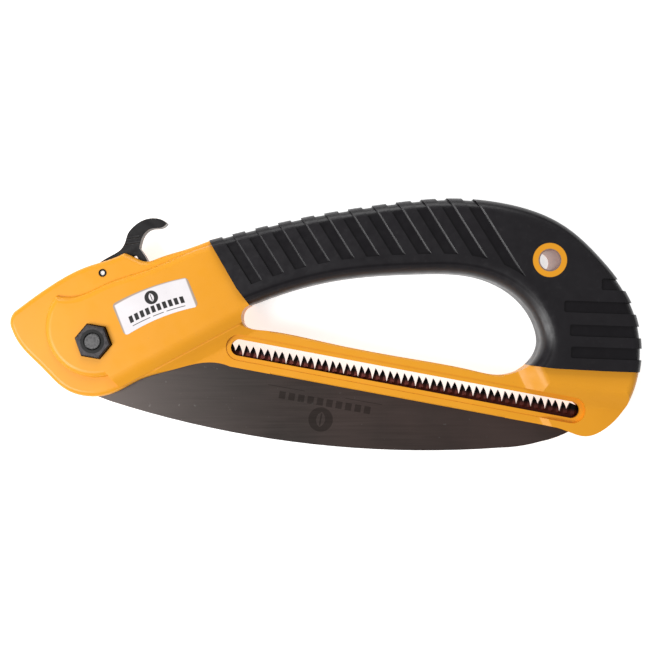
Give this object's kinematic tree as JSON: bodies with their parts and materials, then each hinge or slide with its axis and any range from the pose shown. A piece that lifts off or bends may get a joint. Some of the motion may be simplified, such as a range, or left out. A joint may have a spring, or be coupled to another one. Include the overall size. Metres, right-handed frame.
{
  "type": "folding pruning saw",
  "caption": "Folding pruning saw with a closed D handle, soft ribbed grip, curved toothed blade that folds into the bar, and a sprung thumb lever lock.",
  "frame": {"origin": "centre of the folded saw's outline, on the surface that the back of the grip lies on", "axes": "+X along the handle from the nose to the rear of the grip, +Y in the blade's plane from the blade's back to the grip, +Z out of the labelled right side"},
  "size_m": [0.2866, 0.1149, 0.0254],
  "materials": {
    "yellow_nylon": "satin moulded nylon",
    "black_rubber": "matte moulded soft grip",
    "black_steel": "black oxide",
    "black_nylon": "matte",
    "steel": "turned",
    "dark_steel": "blackened",
    "white_nylon": "matte",
    "blade_steel": "dark low-friction coating, satin",
    "lever_nylon": "satin moulded",
    "label_film": "satin film"
  },
  "bodies": {
    "handle": {"right_shell": "yellow_nylon", "left_shell": "yellow_nylon", "right_grip": "black_rubber", "left_grip": "black_rubber", "pivot_bolt": "black_steel", "pivot_nut": "black_steel", "nut_insert": "black_nylon", "pivot_bush": "steel", "blade_washer_right": "white_nylon", "blade_washer_left": "white_nylon", "stop_pin": "steel", "lever_pin": "dark_steel", "shell_screws": "dark_steel", "hang_hole_sleeve": "steel", "side_label": "label_film"},
    "blade": {"saw_blade": "blade_steel"},
    "lever": {"lock_lever": "lever_nylon", "lever_spring": "steel"}
  },
  "joints": [
    {"name": "blade_pivot", "type": "hinge", "parent": "handle", "child": "blade", "pos_m": [-0.1043, -0.0076, 0.0125], "axis": [0, 0, -1], "range_deg": [0, 180]},
    {"name": "lever_pivot", "type": "hinge", "parent": "handle", "child": "lever", "pos_m": [-0.1009, 0.0234, 0.0125], "axis": [0, 0, 1], "range_deg": [-7, 9], "stiffness_Nm_per_rad": 0.2, "deforming": ["lever_spring"]}
  ]
}
